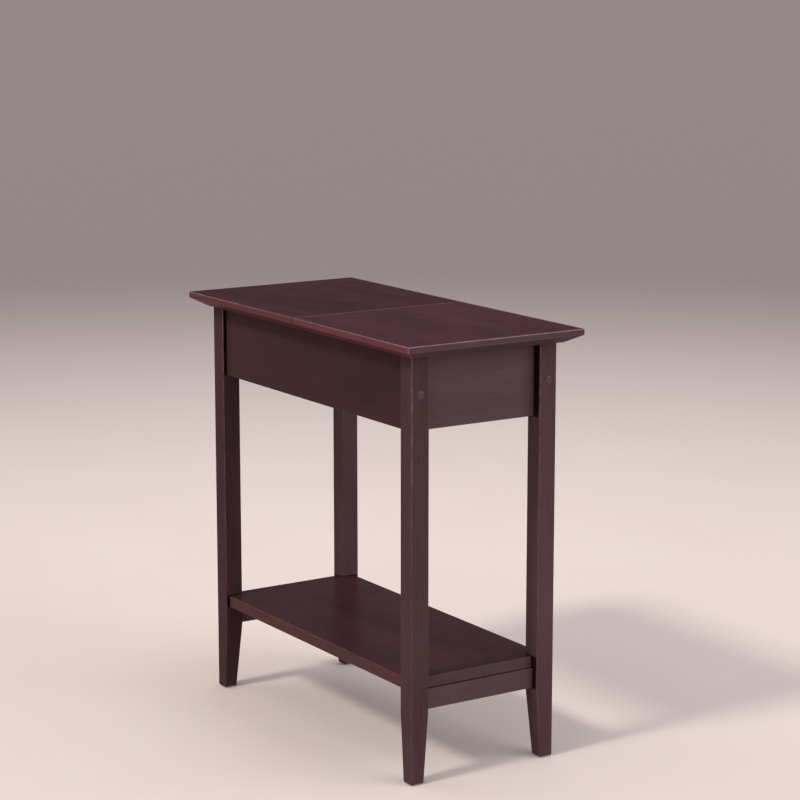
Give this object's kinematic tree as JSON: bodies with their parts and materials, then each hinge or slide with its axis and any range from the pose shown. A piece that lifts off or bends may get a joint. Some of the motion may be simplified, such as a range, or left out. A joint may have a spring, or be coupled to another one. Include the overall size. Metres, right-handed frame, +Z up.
{
  "type": "lift top end table",
  "caption": "Narrow wooden end table with an open lower shelf; the front half of its top lifts up and forward on a linkage over a storage compartment.",
  "frame": {"origin": "on the floor, under the middle of the table", "axes": "+X towards the table's right side, +Y from the lid's end to the fixed end, +Z up; the lid's short end faces -Y"},
  "size_m": [0.286, 0.603, 0.61],
  "materials": {
    "leg_wood": "dark espresso stain, satin lacquer",
    "apron_wood": "dark espresso stain, satin lacquer",
    "top_wood": "dark espresso stain, semi-gloss lacquer",
    "shelf_wood": "dark espresso stain, semi-gloss lacquer",
    "inside_wood": "dark espresso stain, thin matt lacquer",
    "dowel_wood": "bare beech",
    "zinc_steel": "bright zinc plate",
    "black_steel": "black powder coat, fine texture",
    "pin_steel": "zinc-plated rivet steel",
    "spring_steel": "oiled spring wire",
    "nylon": "natural nylon",
    "cap_plastic": "dark brown, satin",
    "bumper_rubber": "matt black"
  },
  "bodies": {
    "table": {"leg_front_left": "leg_wood", "leg_front_right": "leg_wood", "leg_back_left": "leg_wood", "leg_back_right": "leg_wood", "apron_left": "apron_wood", "apron_right": "apron_wood", "apron_front": "apron_wood", "apron_back": "apron_wood", "stretcher_front": "apron_wood", "stretcher_back": "apron_wood", "fixed_top": "top_wood", "shelf": "shelf_wood", "compartment_floor": "inside_wood", "centre_rail": "inside_wood", "top_cleat_left": "inside_wood", "top_cleat_right": "inside_wood", "frame_dowels": "dowel_wood", "rail_dowels": "dowel_wood", "leg_bolts": "zinc_steel", "barrel_nuts": "zinc_steel", "shelf_screws": "zinc_steel", "cleat_screws": "zinc_steel", "top_screws": "zinc_steel", "base_bracket_left": "black_steel", "base_bracket_right": "black_steel", "base_bracket_screws": "black_steel", "rear_base_pins": "pin_steel", "front_base_pins": "pin_steel", "stop_pins": "pin_steel", "torsion_spring_left": "spring_steel", "torsion_spring_right": "spring_steel", "base_washers": "nylon", "foot_glides": "nylon", "bolt_caps": "cap_plastic", "lid_bumpers": "bumper_rubber"},
    "rear_links": {"rear_link_left": "black_steel", "rear_link_right": "black_steel", "cross_bar": "black_steel"},
    "front_link_left": {"front_link_left": "black_steel"},
    "front_link_right": {"front_link_right": "black_steel"},
    "lid": {"lid_panel": "top_wood", "lid_bracket_left": "black_steel", "lid_bracket_right": "black_steel", "lid_pins": "pin_steel", "lid_washers": "nylon", "lid_bracket_screws": "black_steel"}
  },
  "joints": [
    {"name": "lift", "type": "hinge", "parent": "table", "child": "rear_links", "pos_m": [0, -0.15676, 0.522], "axis": [1, 0, 0], "range_deg": [0, 105], "stiffness_Nm_per_rad": 0.5, "springref_deg": 148.97, "deforming": ["torsion_spring_left", "torsion_spring_right"]},
    {"name": "front_link_left_turn", "type": "hinge", "parent": "table", "child": "front_link_left", "pos_m": [0, -0.1945, 0.54651], "axis": [1, 0, 0], "range_deg": [0, 105]},
    {"name": "front_link_right_turn", "type": "hinge", "parent": "table", "child": "front_link_right", "pos_m": [0, -0.1945, 0.54651], "axis": [1, 0, 0], "range_deg": [0, 105]},
    {"name": "lid_level", "type": "hinge", "parent": "rear_links", "child": "lid", "pos_m": [0, -0.027, 0.53335], "axis": [1, 0, 0], "range_deg": [-105, 0]}
  ],
  "couplings": [
    {"joint": "front_link_left_turn", "follows": "lift", "ratio": 1},
    {"joint": "front_link_right_turn", "follows": "lift", "ratio": 1},
    {"joint": "lid_level", "follows": "lift", "ratio": -1}
  ]
}
